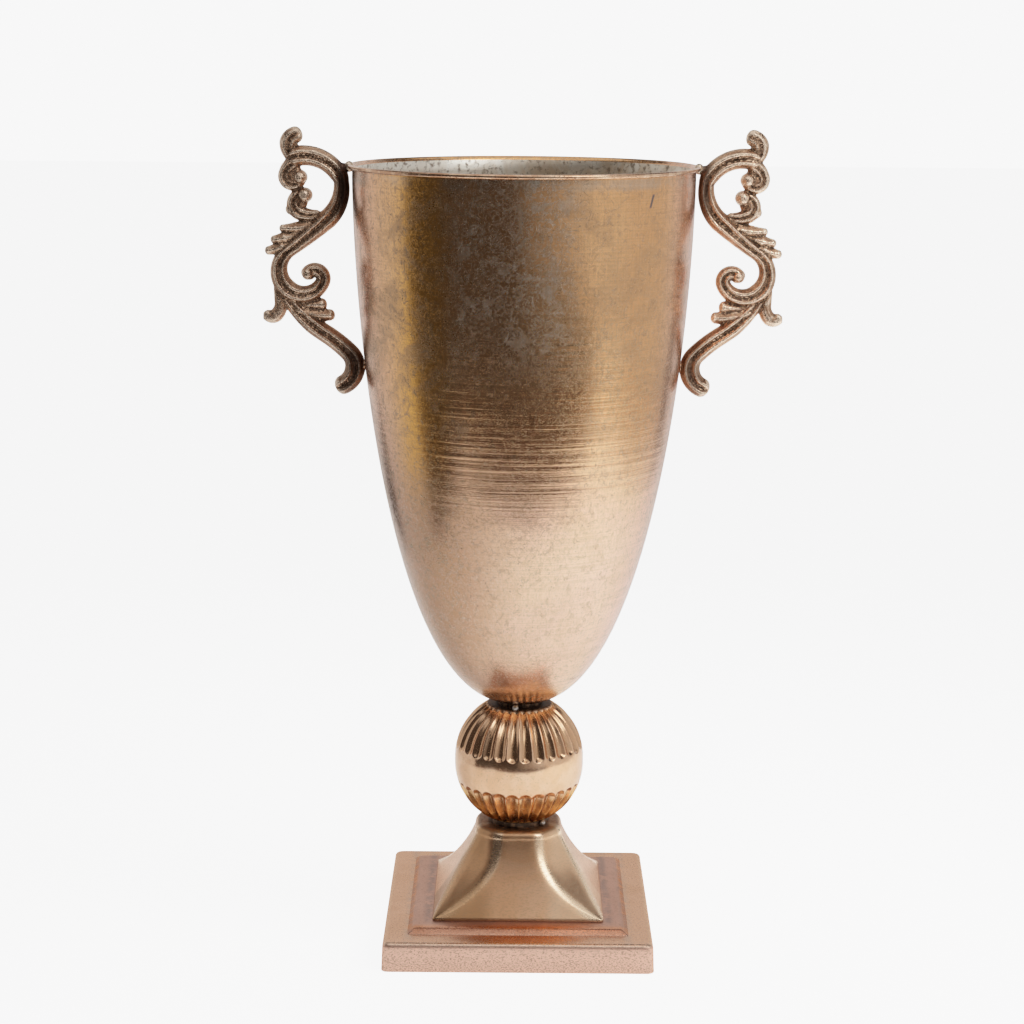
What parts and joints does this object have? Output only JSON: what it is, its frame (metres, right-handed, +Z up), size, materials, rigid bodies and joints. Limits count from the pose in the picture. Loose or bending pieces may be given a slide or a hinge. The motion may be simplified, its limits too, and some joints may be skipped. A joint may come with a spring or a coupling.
{
  "type": "urn vase",
  "caption": "Tall spun cup with two cast scroll handles on a fluted ball, a flared pedestal and a square plinth, for cut flowers.",
  "frame": {"origin": "centre of the plinth's footprint on the surface it stands on", "axes": "+Z up along the cup's axis, +X through the right-hand handle, +Y to the back"},
  "size_m": [0.314, 0.2104, 0.5008],
  "materials": {
    "cup_metal": "spun, brushed and bronzed, worn bright in places",
    "knop_metal": "polished with dark flutes",
    "handle_metal": "cast, antiqued dark in the hollows and rubbed bright on the ridges",
    "pedestal_metal": "cast, satin polished",
    "plinth_metal": "cast, satin with a coppery patina",
    "braze_metal": "rough braze",
    "solder_metal": "dull solder",
    "steel_fixings": "plain zinc-plated steel"
  },
  "bodies": {
    "root": {"cup": "cup_metal", "cup_boss": "braze_metal", "knop_upper": "knop_metal", "knop_lower": "knop_metal", "lower_collar": "pedestal_metal", "pedestal": "pedestal_metal", "plinth": "plinth_metal", "tie_rod": "steel_fixings", "clamp_plate": "steel_fixings", "flat_washer": "steel_fixings", "spring_washer": "steel_fixings", "hex_nut": "steel_fixings", "handle_left": "handle_metal", "handle_right": "handle_metal", "upper_braze_left": "braze_metal", "upper_braze_right": "braze_metal", "lower_braze_left": "braze_metal", "lower_braze_right": "braze_metal", "neck_tack_upper": "solder_metal", "neck_tack_lower": "solder_metal"}
  },
  "joints": []
}
